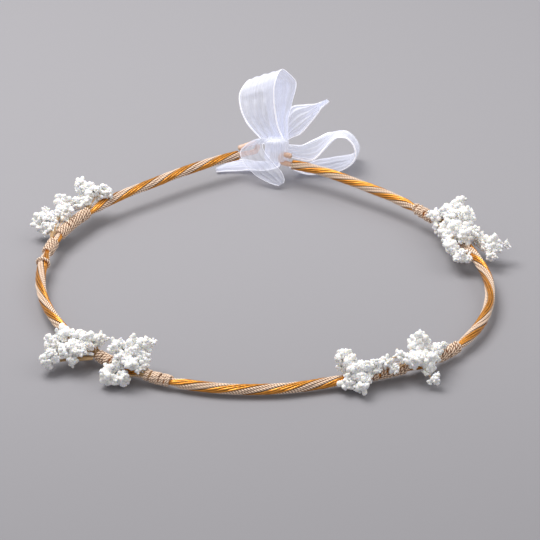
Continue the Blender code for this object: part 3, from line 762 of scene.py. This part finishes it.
class CROWN_OT_gold_straws(bpy.types.Operator):
    """Lay the two bands of glossy straws round the rope"""
    bl_idname = "crown.gold_straws"
    bl_label = "Gold Straws"

    def execute(self, context):
        sizes = context.scene.crown_sizes
        material = stored_material("amber_straw", straw_material)
        distance = np.arange(0, ROPE.length, 0.8 * MM)
        angle = ring_angles(12)
        for strand in (1, 2):
            batches, depths, grids = [], [], []
            for place in (-1, 0, 1):
                seed = 100 + strand * 10 + place
                offset = 180 * (strand - 1) + place * sizes.straw_spread
                path, radial = strand_path(offset, sizes.rope_radius - sizes.straw_radius, seed, distance)
                radius = sizes.straw_radius * (0.85 + 0.15 * ROPE.squeeze(distance))
                ripple = 1 + 0.05 * np.cos(5 * angle)[None] + 0.04 * wander(distance, 14 * MM, seed)[:, None]
                grid = sweep(path, radial, radius[:, None] * ripple)
                grids.append(grid)
                batches.append(tube_batch(grid))
                # Painted shade: depth grows from the straw's outer crest round to its back, darkening its
                # sides and the gaps between straws
                depths.append(np.broadcast_to((1 - np.cos(angle)) / 2, grid.shape[:2])[None])
            data = closed_mesh(f"gold_straws_{strand}", batches, {"depth": depths})
            strand_uv(data, grids)
            place_piece(data.name, data, material, "crown", (f"gold_strand_{strand}",))
        return {"FINISHED"}


def end_loop_path(left, leave_out, count):
    """Smooth path of an end loop: out from the rope, round half a turn and back above, closing in;
    starts and ends so far from the rope. Also the direction square to the loop."""
    base = np.array((0.0 if left else ROPE.length,))
    leg = LEFT_LEG if left else RIGHT_LEG
    start, along, outward, upward = (row[0] for row in ROPE.frames(base))
    leaving = -along if left else along
    half_turn = math.pi * LOOP_RADIUS
    run = np.linspace(leave_out, 2 * leg + half_turn - leave_out, count)
    turn = np.clip((run - leg) / LOOP_RADIUS, 0, math.pi)
    back = np.maximum(run - leg - half_turn, 0)
    forth = np.minimum(run, leg) - back + LOOP_RADIUS * np.sin(turn)
    rise = LOOP_RADIUS * (1 - np.cos(turn)) - LOOP_CLOSING * back
    return start + leaving * forth[:, None] + upward * rise[:, None], outward


class CROWN_OT_wire_and_tape(bpy.types.Operator):
    """Finish the core wire and wrap its two end loops in florist's tape"""
    bl_idname = "crown.wire_and_tape"
    bl_label = "Wire and Tape"

    def execute(self, context):
        sizes = context.scene.crown_sizes
        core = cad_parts["core_wire"]
        core.data.materials.clear()
        core.data.materials.append(stored_material("paper_wire", wire_material))
        material = stored_material("florist_tape", tape_material)
        angle = ring_angles(20)
        for name, left in (("left", True), ("right", False)):
            path, outward = end_loop_path(left, 0.4 * MM, 90 if left else 60)
            run = run_along(path)[:, None] / MM
            lap = (run / sizes.tape_lap * MM + angle[None] / (2 * np.pi)) % 1
            crease = np.sin(3 * angle[None] + 1.7 * run) * np.sin(5 * angle[None] - 0.9 * run)
            radius = sizes.tape_radius * (0.93 + 0.12 * lap + 0.04 * crease)
            grid = sweep(path, outward, radius)
            # Painted shade: darkest at the foot of each lap's edge, fading along the lap
            data = closed_mesh(f"taped_loop_{name}", [tube_batch(grid)], {"depth": [(1 - lap)[None] ** 4]})
            place_piece(data.name, data, material, "crown", (f"tape_{name}",))
        return {"FINISHED"}


def winding_path(start, turns, pitch, side, radius, shift, seed, looseness):
    """Helix round the rope: along = start + turns times pitch, at a radius about a middle that is
    shifted towards the stems; its ends sink into the rope. Turns drift along it and in and out."""
    turn = np.linspace(0, turns, int(turns * 72))
    ends = np.clip(np.minimum(turn, turns - turn) / 0.35, 0, 1)
    drift = looseness * MM * (wander(turn, 3.1, seed) + 0.6 * wander(turn, 0.9, seed + 2)) * ends
    angle = 2 * np.pi * turn + math.radians(side + 180)
    reach = radius * (0.6 + 0.4 * ends) * (1 + 0.16 * looseness * wander(turn, 1.7, seed + 5))
    out = reach * np.cos(angle) + shift * math.cos(math.radians(side))
    up = reach * np.sin(angle) + shift * math.sin(math.radians(side))
    middle, _, outward, upward = ROPE.frames(start + turn * pitch * MM + drift)
    path = middle + outward * out[:, None] + upward * up[:, None]
    return path, unit(path - middle)


class CROWN_OT_windings(bpy.types.Operator):
    """Wind the cord, with painted shade between its plies, over the stems, and the loose turn at the left"""
    bl_idname = "crown.windings"
    bl_label = "Cord Windings"

    def execute(self, context):
        sizes = context.scene.crown_sizes
        material = stored_material("cord_painted_ply_shade", cord_material)
        jobs = []
        for number, (name, (turns, pitch, side, looseness)) in enumerate(WINDINGS.items()):
            double = pitch > DOUBLE_PITCH
            paths = []
            for twin in range(2 if double else 1):
                start = ROPE.start(name) + twin * TWIN_SPACING
                paths.append(winding_path(start, turns, pitch, side, sizes.winding_radius,
                                          sizes.winding_shift, 200 + number, looseness))
            radius = sizes.binding_radius * (TWIN_THINNING if double else 1.0)
            jobs.append((f"cord_winding_{name}", f"binding_{name}", paths, radius, 200 + number))
        turns, slant, side = CROSSING_TURN
        path = winding_path(ROPE.start("crossing"), turns, slant, side - 180,
                            sizes.crossing_radius, 0.0, 230, 0.0)
        jobs.append(("cord_crossing_left", "crossing_cord_left", [path], sizes.binding_radius, 230))
        for name, node, paths, radius, seed in jobs:
            batches, depths = [], []
            for twin, (path, radial) in enumerate(paths):
                grid, depth = plied_grid(path, radial, np.full(len(path), radius), sizes.cord_ply, 2, 10,
                                         seed + 3 * twin)
                batches.append(tube_batch(grid))
                depths.append(depth[None])
            data = closed_mesh(name, batches, {"depth": depths})
            place_piece(name, data, material, "crown", (node,))
        return {"FINISHED"}


GOLDEN_ANGLE = 2.39996
FINGER_SHARES = np.array((0.0, 0.34, 0.66, 0.88, 0.98))
FINGER_PROFILE = np.array((0.8, 0.85, 1.0, 0.92, 0.58))


def bloom_fingers(middle, leaving, size, count, rng):
    """A bloom: blunt fingers all round its middle. Each is a short bent club whose ring radius
    follows a rounded profile with a three-lobed ruffle; a few reach further. Depth goes from one
    at the middle to nought at the tips."""
    spiral = np.arange(count) + 0.5
    rise = 1 - 2 * spiral / count
    turn = spiral * GOLDEN_ANGLE + rng.uniform(0, 6.28)
    flat = np.sqrt(1 - rise ** 2)
    ways = np.stack((flat * np.cos(turn), flat * np.sin(turn), rise), 1)
    ways = unit(ways + rng.normal(0, 0.25, (count, 3)) + 0.25 * leaving)
    length = size * (rng.uniform(0.66, 1.04, count) + 0.34 * (rng.random(count) > 0.86))
    radius = size * rng.uniform(0.24, 0.4, count)
    bend = unit(np.cross(ways, rng.normal(0, 1, (count, 3))))
    bend = bend * (length * rng.uniform(0.05, 0.3, count))[:, None]
    shares = 0.12 + 0.88 * FINGER_SHARES
    path = (middle + ways[:, None] * (length[:, None] * shares)[..., None]
            + bend[:, None] * (shares ** 2)[None, :, None])
    spare = np.where(np.abs(ways[:, 2:]) > 0.9, (1.0, 0, 0), (0, 0, 1.0))
    side = unit(np.cross(ways, spare))
    start = np.cross(side, ways)
    angle = ring_angles(6)
    ruffle = 1 + 0.22 * np.sin(3 * angle[None] + rng.uniform(0, 6.28, (count, 1)))
    ring = start[:, None] * np.cos(angle)[None, :, None] - side[:, None] * np.sin(angle)[None, :, None]
    reach = (radius[:, None] * FINGER_PROFILE[None])[..., None] * ruffle[:, None]
    grid = path[:, :, None] + ring[:, None] * reach[..., None]
    tips = middle + ways * length[:, None] * 1.04 + bend
    ends = np.stack((path[:, 0], tips), 1)
    grid[..., 2] = np.maximum(grid[..., 2], FLOOR_GAP)
    ends[..., 2] = np.maximum(ends[..., 2], FLOOR_GAP)
    # The bloom's material paints shade by this depth, deepest between the florets at the middle
    depth = np.broadcast_to((1 - shares)[None, :, None], grid.shape[:3])
    return (grid, ends), depth


def stem_batch(points, radius, seed):
    """A dry stem through its points, thinning to its tip, with a slight knobbly drift."""
    points = np.asarray(points)
    stations = np.arange(len(points))
    wanted = np.linspace(0, len(points) - 1, 6 * (len(points) - 1) + 1)
    path = smooth_through(stations, points, wanted)
    size = radius * np.linspace(1.0, 0.6, len(path)) * (1 + 0.15 * wander(wanted, 1.3, seed))
    return tube_batch(sweep(path, np.array((0.13, 0.21, 0.97)), np.tile(size[:, None], (1, 6))))


def bract_batch(start, begin, finish, half):
    """A pointed bract: an ellipse swept from one point to the other, its half width rising and
    falling along it as the square root of a sine, with a slight cupping ripple."""
    share = np.linspace(0.02, 0.98, 16)
    ends = [ROPE.place(start - b * MM, o * MM, u * MM)[0] for b, o, u in (begin, finish)]
    path = ends[0] + (ends[1] - ends[0]) * share[:, None]
    path[:, 2] = np.maximum(path[:, 2] + 0.8 * MM * np.sin(np.pi * share), 0.6 * MM)
    angle = ring_angles(14)
    wide = half * np.sqrt(np.sin(np.pi * share * 0.94 + 0.1).clip(0.02))[:, None]
    thick = BRACT_THICKNESS * (1 + 0.5 * np.sin(5 * share))[:, None]
    reach = MM / np.sqrt((np.cos(angle)[None] / thick) ** 2 + (np.sin(angle)[None] / wide) ** 2)
    return tube_batch(sweep(path, np.array((0.0, 0.0, 1.0)), reach))


class CROWN_OT_flower_sprigs(bpy.types.Operator):
    """Grow the white blooms on their tan stems out of each winding"""
    bl_idname = "crown.flower_sprigs"
    bl_label = "Flower Sprigs"

    def execute(self, context):
        bloom = stored_material("bleached_bloom", bloom_material)
        stem = stored_material("dry_stem", stem_material)
        for place, sprigs in SPRIGS.items():
            side = WINDINGS[place][2]
            for number, heads in enumerate(sprigs):
                name = f"{place}_{'abcdef'[number]}"
                rng = np.random.default_rng(int(1000 * ROPE.start(place) / MM) + number)
                lane = math.radians(side + LANE_PITCH * (number - (len(sprigs) - 1) / 2))
                blooms, stems = self.sprig(context.scene.crown_sizes, ROPE.start(place), lane, heads, rng)
                for sprig, begin, finish, half, piece in BRACTS:
                    if sprig == name and piece == "blooms":
                        batch = bract_batch(ROPE.start(place), begin, finish, half)
                        blooms.append((batch, np.zeros(batch[0].shape[:3])))
                    elif sprig == name:
                        stems.append(bract_batch(ROPE.start(place), begin, finish, half))
                depths = [depth for _, depth in blooms]
                data = closed_mesh(f"blooms_{name}", [batch for batch, _ in blooms], {"depth": depths})
                place_piece(data.name, data, bloom, "crown", (f"sprig_{name}",))
                bare = [np.zeros(batch[0].shape[:3]) for batch in stems]
                data = closed_mesh(f"stems_{name}", stems, {"depth": bare})
                place_piece(data.name, data, stem, "crown", ())
        return {"FINISHED"}

    def sprig(self, sizes, start, lane, heads, rng):
        """Blooms and stems of one sprig: each head with smaller blooms crowded round it."""
        out, up = math.cos(lane), math.sin(lane)
        reach = sizes.stem_reach
        far = reach + 0.9 * MM
        roots = [ROPE.place(start + bound, reach * out, reach * up)[0] for bound in (3.0 * MM, 0.0)]
        roots.append(ROPE.place(start - 1.6 * MM, far * out, far * up)[0])
        middles = [ROPE.place(start - b * MM, o * MM, u * MM)[0] for b, o, u, _ in heads]
        blooms = []
        last = roots[-1]
        for middle, (_, _, _, radius) in zip(middles, heads):
            size = radius * MM * sizes.bloom_growth
            middle[2] = max(middle[2], size)
            leaving = unit(middle - last)
            blooms.append(bloom_fingers(middle, leaving, size, int(12 * radius), rng))
            for _ in range(sizes.satellites):
                way = unit(rng.normal(0, 1, 3) - 0.5 * leaving)
                spot = middle + way * size * rng.uniform(0.6, 1.0)
                blooms.append(bloom_fingers(spot, way, size * rng.uniform(0.5, 0.7), int(8 * radius), rng))
            last = middle
        stems = [stem_batch(roots + middles, MAIN_STEM_RADIUS, 1)]
        for extra in range(3):
            target = middles[extra % len(middles)] + rng.normal(0, 0.7, 3) * MM
            begin = roots[0] + rng.normal(0, 0.12, 3) * MM
            through = roots[2] + rng.normal(0, 0.3, 3) * MM
            points = [begin, through, (through + target) / 2, target]
            stems.append(stem_batch(points, SIDE_STEM_RADIUS, extra))
        return blooms, stems


def ribbon_grid(stations, rows_each, columns, width, waves, seed):
    """Ribbon between two edge lines. Where the edges come closer than the ribbon's width, the
    spare cloth stands up in pleats: a sine across the ribbon, high enough to keep its width."""
    rows = (len(stations) - 1) * rows_each + 1
    wanted = np.linspace(0, len(stations) - 1, rows)
    edges = np.array(stations) * MM
    near, far = (smooth_through(range(len(stations)), edges[:, side], wanted) for side in (0, 1))
    across = np.linspace(0, 1, columns)
    grid = near[:, None] * (1 - across[None, :, None]) + far[:, None] * across[None, :, None]
    span = np.linalg.norm(far - near, axis=1)
    spare = np.sqrt(2 * np.maximum((width / span) ** 2 - 1, 0))
    height = np.minimum(span / (2 * np.pi * waves) * spare, PLEAT_LIMIT)
    normal = unit(np.cross(np.gradient(grid, axis=0), np.gradient(grid, axis=1)))
    drift = 0.8 * wander(wanted, 5.0, seed)
    wave = np.sin(2 * np.pi * waves * across[None] + drift[:, None])
    slow = 0.35 * MM * np.sin(np.pi * across[None]) * wander(wanted, 2.6, seed + 3)[:, None]
    return grid + normal * (wave * height[:, None] + slow)[..., None], near, far


def sheet_mesh(name, grid, length, width, density):
    """Open sheet from a grid, with its cloth UV: across from 0 to 1, along in ribbon widths.
    It is denser where the rows grow shorter than the ribbon is wide."""
    rows, columns = grid.shape[:2]
    row, column = np.meshgrid(np.arange(rows - 1), np.arange(columns - 1), indexing="ij")
    here = row * columns + column
    faces = np.stack((here, here + 1, here + columns + 1, here + columns), -1).reshape(-1, 4)
    data = bpy.data.meshes.new(name)
    data.from_pydata(grid.reshape(-1, 3).tolist(), [], faces.tolist())
    across, along = np.meshgrid(np.linspace(0, 1, columns), np.linspace(0, length / width, rows))
    store_uv(data, "cloth", np.stack((across, along), -1).reshape(-1, 2))
    span = np.linalg.norm(grid[:, -1] - grid[:, 0], axis=1)
    crowding = 1 + 0.5 * np.clip(1 - span / width, 0, 1)
    store_values(data, "cloth_layers", np.repeat(density * crowding, columns))
    data.shade_smooth()
    return data


class CROWN_OT_organza_bow(bpy.types.Operator):
    """Tie the sheer ribbon: its gathered knot, three loops and two tails"""
    bl_idname = "crown.organza_bow"
    bl_label = "Organza Bow"

    def execute(self, context):
        sizes = context.scene.crown_sizes
        material = stored_material("sheer_organza", organza_material)
        root = bow_root()
        self.knot(material, root)
        for number, (name, stations) in enumerate(BOW_LIMBS.items()):
            grid, near, far = ribbon_grid(stations, 8, 33, sizes.ribbon_width, 4, 300 + number)
            middle = (near + far) / 2
            length = float(np.linalg.norm(np.diff(middle, axis=0), axis=1).sum())
            data = sheet_mesh(f"ribbon_{name}", grid + root, length, sizes.ribbon_width,
                              CLOTH_DENSITY[name])
            data.materials.append(material)
            limb = bpy.data.objects.new(data.name, data)
            context.scene.collection.objects.link(limb)
            wall = limb.modifiers.new("thickness", "SOLIDIFY")
            wall.thickness = sizes.ribbon_thickness
            wall.offset = 0.0
            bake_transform(limb)
            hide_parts(f"bow_{name}")
        return {"FINISHED"}

    def knot(self, material, root):
        """The gathered wrap: rings wide above, pinched at the waist and wide below, folded into
        pleats by sines round them that slant from one end to the other."""
        rings, sides = 48, 120
        tall = np.linspace(-1, 1, rings)[:, None]
        angle = ring_angles(sides)[None]
        waist = 0.74 + 0.16 * tall ** 2 + 0.02 * tall
        cap = np.sqrt(np.clip(1 - ((np.abs(tall) - 0.62).clip(0) / 0.385) ** 2, 0.01, 1))
        pleat = 1 + 0.07 * np.sin(11 * angle + 2.0 * tall) + 0.05 * np.sin(23 * angle - 3.0 * tall)
        size = waist * cap * pleat * MM
        wide, deep, high = KNOT_HALF
        right, back, up = KNOT_SHIFT
        sway = (right + 0.1 * tall) * MM
        grid = np.stack((wide * size * np.cos(angle) + sway, deep * size * np.sin(angle) + back * MM,
                         (up + high * tall) * MM * np.ones_like(angle)), -1) + root
        data = closed_mesh("ribbon_knot", [tube_batch(grid)])
        around = np.tile(0.5 + 0.4 * np.sin(np.arange(sides) / sides * 2 * np.pi), rings)
        upward = np.repeat(np.linspace(0, 0.6, rings), sides)
        values = np.concatenate((np.stack((around, upward), -1), ((0.5, 0), (0.5, 0.6))))
        store_uv(data, "cloth", values)
        store_values(data, "cloth_layers", np.full(len(data.vertices), KNOT_DENSITY))
        place_piece("ribbon_knot", data, material, "crown", ("bow_knot",))


# ---------------------------------------------------------------- stage

class CROWN_OT_stage(bpy.types.Operator):
    """Pale floor, soft lights and the camera"""
    bl_idname = "crown.stage"
    bl_label = "Stage"

    def execute(self, context):
        scene = context.scene
        data = bpy.data.meshes.new("floor")
        half = FLOOR_HALF
        data.from_pydata([(-half, -half, 0), (half, -half, 0), (half, half, 0), (-half, half, 0)], [],
                         [(0, 1, 2, 3)])
        floor = bpy.data.objects.new("floor", data)
        floor.location.z = -FLOOR_DROP
        scene.collection.objects.link(floor)
        material, tree, shader = new_material("pale_floor", Roughness=0.9, Specular_IOR_Level=0.1)
        place = add_node(tree, "ShaderNodeTexCoord")
        axes = add_node(tree, "ShaderNodeSeparateXYZ", {0: place.outputs["Object"]})
        # Painted shading: the floor goes darker towards the front
        depth = add_node(tree, "ShaderNodeMapRange", {
            "Value": axes.outputs["Y"], "From Min": -0.22, "From Max": 0.04}, interpolation_type="SMOOTHSTEP")
        shade = add_node(tree, "ShaderNodeMix", {
            "Factor": depth.outputs["Result"], 6: FLOOR_FRONT, 7: FLOOR_BACK},
            data_type="RGBA")
        tree.links.new(shade.outputs[2], shader.inputs["Base Color"])
        data.materials.append(material)

        world = bpy.data.worlds.new("studio")
        world.use_nodes = True
        world.node_tree.nodes["Background"].inputs[0].default_value = WORLD_COLOUR
        world.node_tree.nodes["Background"].inputs[1].default_value = WORLD_STRENGTH
        scene.world = world
        for name, (where, size, power, colour) in LIGHTS.items():
            lamp = bpy.data.lights.new(name, "AREA")
            lamp.size = size
            lamp.energy = power
            lamp.color = colour
            item = bpy.data.objects.new(name, lamp)
            item.location = where
            item.rotation_euler = (-item.location).to_track_quat("-Z", "Y").to_euler()
            scene.collection.objects.link(item)
        lens = bpy.data.cameras.new("camera")
        lens.lens = CAMERA_LENS
        lens.clip_start = 0.01
        camera = bpy.data.objects.new("camera", lens)
        tilt = math.radians(CAMERA_ELEVATION)
        away = np.array((0, -math.cos(tilt), math.sin(tilt)))
        camera.location = CAMERA_TARGET + CAMERA_DISTANCE * away
        camera.rotation_euler = (math.pi / 2 - tilt, 0, 0)
        scene.collection.objects.link(camera)
        scene.camera = camera
        scene.view_settings.view_transform = "Standard"
        return {"FINISHED"}


# ---------------------------------------------------------------- settings and panel

def length_setting(name, description, default):
    """A length a user may change."""
    return bpy.props.FloatProperty(name=name, description=description, default=default, min=0.0,
                                   subtype="DISTANCE", unit="LENGTH", precision=5)


def colour_setting(name, description, default):
    """A colour a user may change."""
    return bpy.props.FloatVectorProperty(name=name, description=description, default=default, size=3,
                                         min=0.0, max=1.0, subtype="COLOR")


class CrownSizes(bpy.types.PropertyGroup):
    rope_radius: length_setting("Rope Radius", "Half the rope's thickness", 2.1 * MM)
    cord_radius: length_setting("Cord Radius", "Half the thickness of one beige cord", 0.6 * MM)
    cord_ply: length_setting("Ply Length", "Length in which a cord's plies turn once", 2.2 * MM)
    straw_radius: length_setting("Straw Radius", "Half the thickness of one gold straw", 0.42 * MM)
    winding_radius: length_setting("Winding Radius", "Middle of the winding cord from its middle", 1.98 * MM)
    winding_shift: length_setting("Winding Shift", "How far the stems push a winding's middle", 0.22 * MM)
    crossing_radius: length_setting("Crossing Radius", "Middle of the loose turn's cord", 2.7 * MM)
    binding_radius: length_setting("Binding Radius", "Half the thickness of a winding's cord", 0.57 * MM)
    tape_radius: length_setting("Tape Radius", "Half the thickness of a taped end loop", 1.15 * MM)
    tape_lap: length_setting("Tape Lap", "Length along the loop that one turn of tape covers", 2.4 * MM)
    stem_reach: length_setting("Stem Reach", "Middle of a bound stem from the rope's middle", 1.55 * MM)
    ribbon_width: length_setting("Ribbon Width", "Width of the organza ribbon", 20.0 * MM)
    ribbon_thickness: length_setting("Ribbon Thickness", "Thickness of the organza", 0.12 * MM)
    cord_spread: bpy.props.FloatProperty(
        name="Cord Spread", description="Degrees from a beige band's middle to each of its cords",
        default=22.5)
    straw_spread: bpy.props.FloatProperty(
        name="Straw Spread", description="Degrees between neighbouring straws of a gold band", default=28.0)
    bloom_growth: bpy.props.FloatProperty(
        name="Bloom Growth", description="Size of the blooms against their frame heads", default=1.74)
    satellites: bpy.props.IntProperty(
        name="Satellites", description="Smaller blooms crowded round each head", default=3, min=0)


class CrownColours(bpy.types.PropertyGroup):
    cord: colour_setting("Cord", "Crests of the beige cord", (0.97, 0.75, 0.57))
    # Painted shade: the brown that the cord takes between its plies
    cord_shadow: colour_setting("Cord Shadow", "Brown between the cord's plies", (0.13, 0.04, 0.014))
    straw: colour_setting("Straw", "Amber of the gold straws", (0.78, 0.32, 0.035))
    # Painted shade on the sides and back of the gold straws
    straw_shadow: colour_setting("Straw Shadow", "Dark sides of the gold straws", (0.14, 0.025, 0.003))
    tape: colour_setting("Tape", "Nude florist's tape", (0.86, 0.58, 0.44))
    # Painted shade where the tape's laps end
    tape_shadow: colour_setting("Tape Shadow", "Tape where its laps end", (0.5, 0.27, 0.18))
    bloom: colour_setting("Bloom", "White of the blooms", (0.985, 0.975, 0.955))
    # Painted shade between the florets
    bloom_shadow: colour_setting("Bloom Shadow", "Tan between the florets", (0.70, 0.58, 0.44))
    stem: colour_setting("Stem", "Dry stems", (0.55, 0.36, 0.18))
    stem_shadow: colour_setting("Stem Shadow", "Dark side of the stems", (0.25, 0.14, 0.06))
    organza: colour_setting("Organza", "The sheer ribbon", (0.84, 0.86, 0.96))


OPERATORS = (CROWN_OT_stage, CROWN_OT_beige_cords, CROWN_OT_gold_straws, CROWN_OT_wire_and_tape,
             CROWN_OT_windings, CROWN_OT_flower_sprigs, CROWN_OT_organza_bow)


class CROWN_PT_panel(bpy.types.Panel):
    """Lists the crown's pieces and settings"""
    bl_idname = "CROWN_PT_panel"
    bl_label = "Flower Crown"
    bl_space_type = "VIEW_3D"
    bl_region_type = "UI"
    bl_category = "Flower Crown"

    def draw(self, context):
        for operator in OPERATORS:
            self.layout.operator(operator.bl_idname)
        for group in (context.scene.crown_sizes, context.scene.crown_colours):
            for name in group.__annotations__:
                self.layout.prop(group, name)


CLASSES = (CrownSizes, CrownColours, *OPERATORS, CROWN_PT_panel)


def register():
    """Add the classes and the scene's settings."""
    for item in CLASSES:
        bpy.utils.register_class(item)
    bpy.types.Scene.crown_sizes = bpy.props.PointerProperty(type=CrownSizes)
    bpy.types.Scene.crown_colours = bpy.props.PointerProperty(type=CrownColours)


def unregister():
    """Take away what register added."""
    del bpy.types.Scene.crown_colours
    del bpy.types.Scene.crown_sizes
    for item in reversed(CLASSES):
        bpy.utils.unregister_class(item)


def main():
    """Build every piece in order."""
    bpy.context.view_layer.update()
    register()
    bpy.ops.crown.stage()
    bpy.ops.crown.beige_cords()
    bpy.ops.crown.gold_straws()
    bpy.ops.crown.wire_and_tape()
    bpy.ops.crown.windings()
    bpy.ops.crown.flower_sprigs()
    bpy.ops.crown.organza_bow()


if __name__ == "__main__":
    main()
